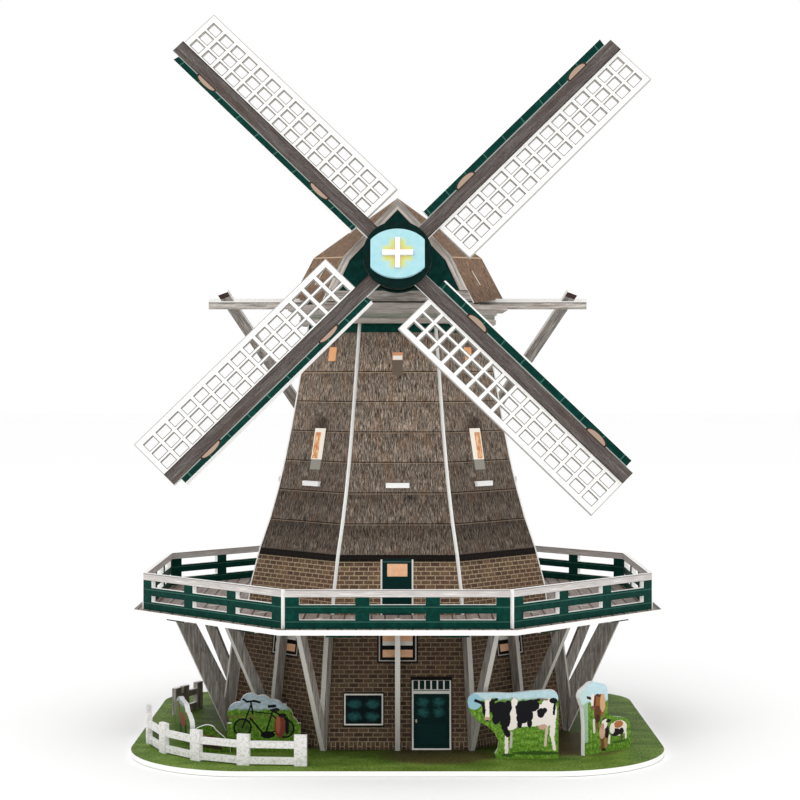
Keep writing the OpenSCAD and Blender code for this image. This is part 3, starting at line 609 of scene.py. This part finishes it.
def calfPrint(p):
    brown, white, black = (146, 92, 52), (236, 226, 214), (30, 26, 26)
    colour, blade = meadow(p, rgb(166, 204, 216), 24.5)
    colour = p.mix((p.u < 2.2) * (p.v > 6.0) * 0.5, colour, rgb(190, 214, 206))
    u, v = warped(p, 0.5)
    shapes = [
        ("line", 6.0, 16, 6.4, 10.4, 0.7, (222, 212, 200)), ("line", 8.2, 18, 8.4, 12, 0.8, (120, 78, 60)),
        ("oval", 10.0, 22.4, 3.9, 5.6, brown), ("oval", 12.0, 23.6, 1.8, 4.4, (206, 164, 124)),
        ("oval", 8.4, 19.0, 2.2, 3.6, (98, 58, 46)), ("oval", 8.6, 16.4, 1.6, 2.0, (72, 42, 38)),
        ("line", 5.4, 27.4, 5.2, 23.4, 1.0, white), ("line", 6.9, 27.0, 6.5, 22.6, 0.7, (88, 54, 40)),
        ("line", 1.9, 27.2, 3.8, 26.4, 0.6, (60, 40, 34)), ("line", 8.0, 27.6, 9.8, 27.0, 0.6, (84, 52, 42)),
        ("oval", 5.2, 21.9, 1.1, 0.9, (128, 90, 80)),
        ("oval", 22.8, 10.4, 5.6, 3.7, white), ("oval", 22.6, 12.2, 3.2, 1.7, (176, 112, 66)),
        ("oval", 20.6, 8.6, 3.2, 1.9, black), ("oval", 24.6, 8.6, 1.6, 1.8, black),
        ("line", 27.4, 10, 27.6, 5.4, 0.6, white), ("line", 24.6, 7.0, 24.6, 4.8, 0.55, (90, 70, 60)),
        ("oval", 18.4, 10.6, 1.7, 2.6, white), ("line", 16.4, 7.4, 16.2, 4.2, 0.7, white),
        ("line", 11.4, 10, 12.0, 1.8, 1.1, (120, 68, 50)), ("line", 13.6, 9, 14.4, 3, 0.8, (168, 112, 82)),
        ("oval", 11.6, 9.6, 1.9, 3.0, (206, 166, 142)), ("oval", 14.8, 9.4, 1.4, 3.2, black),
        ("oval", 13.2, 13.6, 2.0, 2.4, white), ("oval", 11.8, 12.4, 1.2, 1.4, (190, 140, 124)),
        ("oval", 15.8, 14.6, 1.7, 0.8, black), ("line", 12.0, 15.6, 13.8, 16.2, 0.5, (92, 60, 50)),
        ("oval", 12.6, 1.4, 1.6, 0.7, (56, 40, 32)), ("oval", 23, 3.9, 5.0, 0.6, (62, 96, 36)),
    ]
    return drawn(p, colour, shapes, u, v), blade


def horsePrint(p):
    colour, blade = meadow(p, rgb(150, 168, 160), 17.5)
    colour = p.times(colour, 0.6)
    u, v = warped(p, 0.6)
    brown, dark = (122, 70, 40), (26, 20, 18)
    shapes = [
        ("line", 12, 10, 11.4, 2, 1.0, dark), ("line", 23, 10, 24, 2, 1.1, dark),
        ("line", 15, 10, 15, 3, 0.8, dark),
        ("oval", 17, 10.8, 7.6, 3.4, brown), ("line", 11, 11.4, 7.6, 16.6, 1.7, brown),
        ("oval", 6.4, 16.8, 2.4, 1.3, brown), ("line", 10.8, 14, 8.4, 18.2, 0.6, dark),
        ("line", 24.4, 11, 26.2, 5, 0.8, dark),
    ]
    return drawn(p, colour, shapes, u, v), blade


def lambPrint(p):
    colour, blade = meadow(p, rgb(96, 120, 60), 30.0)
    colour = p.times(colour, 0.5)
    u, v = warped(p, 0.6)
    shapes = [
        ("oval", 8.0, 5.4, 4.6, 2.6, (92, 62, 48)), ("oval", 9.6, 4.6, 3.2, 1.8, (38, 30, 28)),
        ("oval", 4.4, 7.2, 1.8, 1.6, (128, 92, 74)), ("line", 5.6, 3.2, 13, 2.0, 0.8, (54, 44, 34)),
    ]
    return drawn(p, colour, shapes, u, v), blade


looks = {
    "grass": grassPrint(), "foam": foam,
    "brickFront": lowerWall(True), "brickSide": lowerWall(False),
    "thatchFront": upperWall(True, 0), "thatchSide": upperWall(False, 0),
    "thatchLeft": upperWall(False, -1), "thatchRight": upperWall(False, 1),
    "curbGrey": plain("curbGrey", curbPrint(rgb(190, 184, 176))),
    "curbGreen": plain("curbGreen", curbPrint(rgb(118, 140, 118))),
    "curbPink": plain("curbPink", curbPrint(rgb(172, 160, 154))),
    "hub": plain("hub", hubPrint, 0.4), "roof": plain("roof", roofPrint, 0.6, 0.00014),
}
makers = {
    "railing": railingPrint, "deck": deckPrint, "gable": gablePrint, "stock": stockPrint,
    "lattice": latticePrint, "hubEdge": hubEdgePrint, "blue": bluePrint, "fence": fencePrint,
    "plank": plankPrint, "beam": beamPrint, "brace": bracePrint, "cow": cowPrint, "bicycle": bicyclePrint,
    "calf": calfPrint, "horse": horsePrint, "lamb": lambPrint,
}
for name, maker in makers.items():
    looks[name] = plain(name, maker)
worn = Print("foamWorn")
grubby = worn.mix(worn.noise(worn.u, worn.v), rgb(206, 204, 198), rgb(178, 174, 166))
looks["foamWorn"] = worn.finish(grubby, None, 0.75)

print("prints on the boards")


def lay(name, look, place, facing=0.8, edge=None):  # place(centre) gives a face its board's frame
    obj = nodes[name]
    mesh = obj.data
    mesh.materials.clear()
    mesh.materials.append(looks[look])
    mesh.materials.append(foam)
    layer = mesh.uv_layers.get("print") or mesh.uv_layers.new(name="print")
    mesh.uv_layers.active = layer
    for face in mesh.polygons:
        toBoard = place(face.center)
        turn = toBoard.to_3x3()
        normal = turn @ face.normal
        printed = abs(normal.z) > facing
        along = Vector((0, 0, 1)).cross(normal)  # runs round the edge of the board
        face.material_index = 0 if printed else 1
        face.use_smooth = False
        for loop in face.loop_indices:
            at = toBoard @ mesh.vertices[mesh.loops[loop].vertex_index].co * mm
            layer.data[loop].uv = (at.x, at.y) if printed else (along.dot(at), at.z)
    if edge:
        mesh.materials[1] = looks[edge]


def upright(degrees, origin=(0, 0, 0)):  # board standing up, its width turned by degrees from +X
    across = Vector((math.cos(math.radians(degrees)), math.sin(math.radians(degrees)), 0))
    up = Vector((0, 0, 1))
    out = across.cross(up)
    rows = Matrix((across, up, out)).to_4x4()
    return rows @ Matrix.Translation(-Vector(origin))


flat = Matrix.Identity(4)
lay("base_plate", "grass", lambda c: flat)
lay("deck_plate", "deck", lambda c: flat)
lay("tower_rib", "foam", lambda c: flat)
curbs = {
    "curb_plate_lower": "curbPink", "curb_plate_middle": "curbGreen",
    "curb_plate_upper": "curbGrey", "cap_floor": "curbPink",
}
for name, look in curbs.items():
    lay(name, look, lambda c: flat, edge=look)
thatches = {0: "thatchFront", 1: "thatchRight", 7: "thatchLeft", 3: "thatchLeft", 5: "thatchRight"}
for i in range(8):
    board = upright(45 * i)
    lay(f"lower_wall_{i + 1}", "brickFront" if i == 0 else "brickSide", lambda c, b=board: b)
    lay(f"upper_wall_{i + 1}", thatches.get(i, "thatchSide"), lambda c, b=board: b)
    lay(f"railing_{i + 1}", "railing", lambda c, b=board: b)


def spoke(first):  # struts stand out from the axis like spokes
    def place(c):
        turn = round((math.degrees(math.atan2(c.y, c.x)) - first) / 45) * 45 + first
        return upright(turn)
    return place


lay("corner_struts", "plank", spoke(22.5), edge="foamWorn")
lay("wall_struts", "plank", spoke(0), edge="foamWorn")
lay("front_gable", "gable", lambda c: upright(0))
lay("rear_gable", "gable", lambda c: upright(180))
lay("middle_frame", "plank", lambda c: upright(0))
lay("tail_beam", "beam", lambda c: upright(0))
lay("tail_pole", "plank", lambda c: upright(90))


roof = {  # metres; front and rear are y, the ridge is z, and the pairs are x and z
    "front": -0.0496, "rear": 0.0436, "gableKnee": (0.0262, 0.2388), "middleKnee": (0.0436, 0.2414),
    "ridge": 0.2726, "eaves": (0.0547, 0.2203), "slack": 0.0008,
}


def roofFrame(c):  # u along the knee fold from the gable, v up the slope from it
    side = -1 if c.x < 0 else 1
    kneeX, kneeZ = roof["gableKnee"]
    knee = Vector((side * kneeX, roof["front"] if c.y < 0 else roof["rear"], kneeZ))
    along = (Vector((side * roof["middleKnee"][0], 0, roof["middleKnee"][1])) - knee).normalized()
    above = Vector((0, 0, roof["ridge"])) - knee
    below = knee - Vector((side * roof["eaves"][0], 0, roof["eaves"][1]))
    foldZ = knee.z + (c - knee).dot(along) * along.z - roof["slack"]
    slope = above if c.z > foldZ else below
    up = (slope - along * slope.dot(along)).normalized()
    return Matrix((along, up, along.cross(up))).to_4x4() @ Matrix.Translation(-knee)


lay("roof_front", "roof", roofFrame)
lay("roof_rear", "roof", roofFrame)


braces = {"top": (0.0895, -0.0144, 0.223), "foot": (0.0042, 0.108, 0.084)}  # metres, right side


def braceFrame(c):
    side = Vector((-1 if c.x < 0 else 1, 1, 1))
    top = Vector(braces["top"]) * side
    along = (Vector(braces["foot"]) * side - top).normalized()
    out = along.cross(Vector((1, 0, 0))).normalized()
    return Matrix((along, out.cross(along), out)).to_4x4() @ Matrix.Translation(-top)


lay("tail_braces", "brace", braceFrame)

lean = math.radians(11.3)  # of the windshaft
firstSail = 45.3  # degrees round the shaft at rest
trail = 4  # degrees; a sail's faces lie mostly to one side of its arm
shaft = Vector((0, -math.cos(lean), math.sin(lean)))
hubAt = Vector((0, -0.0728, 0.2364))
faceUp = Vector((0, math.sin(lean), math.cos(lean)))
onSails = Matrix((Vector((1, 0, 0)), faceUp, shaft)).to_4x4() @ Matrix.Translation(-hubAt)


def sailFrame(c):
    local = onSails @ c
    angle = math.degrees(math.atan2(local.y, local.x)) + trail
    turn = round((angle - firstSail) / 90) * 90 + firstSail
    return Matrix.Rotation(math.radians(-turn), 4, "Z") @ onSails


lay("lattices", "lattice", sailFrame, edge="foamWorn")
lay("stocks", "stock", sailFrame, 0.75)
for name in ("hub_rear_ring", "hub_front_ring", "hub_inner_ring", "shaft_collar", "shaft_stop"):
    lay(name, "hub", lambda c: onSails, edge="hubEdge")
lay("hub_plate", "blue", lambda c: onSails, edge="blue")
lay("shaft_plate_upright", "foam", lambda c: onSails)
lay("shaft_plate_level", "foam", lambda c: onSails)
lay("front_fence", "fence", lambda c: upright(0), 0.05)
lay("rear_fence", "plank", lambda c: upright(45), 0.05)
figures = {  # x and y of each board's corner in mm, and its turn in degrees
    "bicycle": (-80.8, -85.7, 0), "cow": (32.3, -104, 0), "calf": (87.5, -97.8, 39.3),
    "horse": (-110, -47, -71.3), "lamb": (-96.5, -90, 0),
}
baseTop = 0.0024
for name, (x, y, turn) in figures.items():
    board = upright(turn, (x / mm, y / mm, baseTop))
    lay(name + "_board", name, lambda c, b=board: b)

print("floor, lights and camera")
justUnder = -0.0002
bpy.ops.mesh.primitive_plane_add(size=12, location=(0, 2, justUnder))
floor = bpy.context.object
floor.name = "floor"
paper = bpy.data.materials.new("paleFloor")
paper.use_nodes = True
paperBsdf = paper.node_tree.nodes["Principled BSDF"]
paperBsdf.inputs["Base Color"].default_value = (0.985, 0.985, 0.985, 1)
paperBsdf.inputs["Roughness"].default_value = 0.9
floor.data.materials.append(paper)

world = bpy.context.scene.world or bpy.data.worlds.new("studio")
bpy.context.scene.world = world
world.use_nodes = True
backdrop = world.node_tree.nodes["Background"]
backdrop.inputs["Color"].default_value = (1, 1, 1, 1)
backdrop.inputs["Strength"].default_value = 1.0

lamps = {
    "key": {"at": (-0.9, -1.3, 1.5), "size": 1.0, "power": 7},
    "fill": {"at": (1.3, -1.2, 0.7), "size": 1.4, "power": 3},
}
aim = Vector((0, 0, 0.15))
for name, s in lamps.items():
    light = bpy.data.lights.new(name, "AREA")
    light.size, light.energy = s["size"], s["power"]
    lamp = bpy.data.objects.new(name, light)
    lamp.location = s["at"]
    lamp.rotation_euler = (aim - Vector(s["at"])).to_track_quat("-Z", "Y").to_euler()
    bpy.context.scene.collection.objects.link(lamp)

cam = bpy.data.cameras.new("camera")
cam.lens, cam.sensor_width = 84.06, 36
cam.shift_x, cam.shift_y = 0.003, -0.029
cam.clip_start, cam.clip_end = 0.05, 30
eye = bpy.data.objects.new("camera", cam)
eye.location = (0, -0.9714, 0.1797)
eye.rotation_euler = (math.radians(90), 0, 0)
bpy.context.scene.collection.objects.link(eye)
bpy.context.scene.camera = eye
bpy.context.scene.view_settings.view_transform = "Standard"
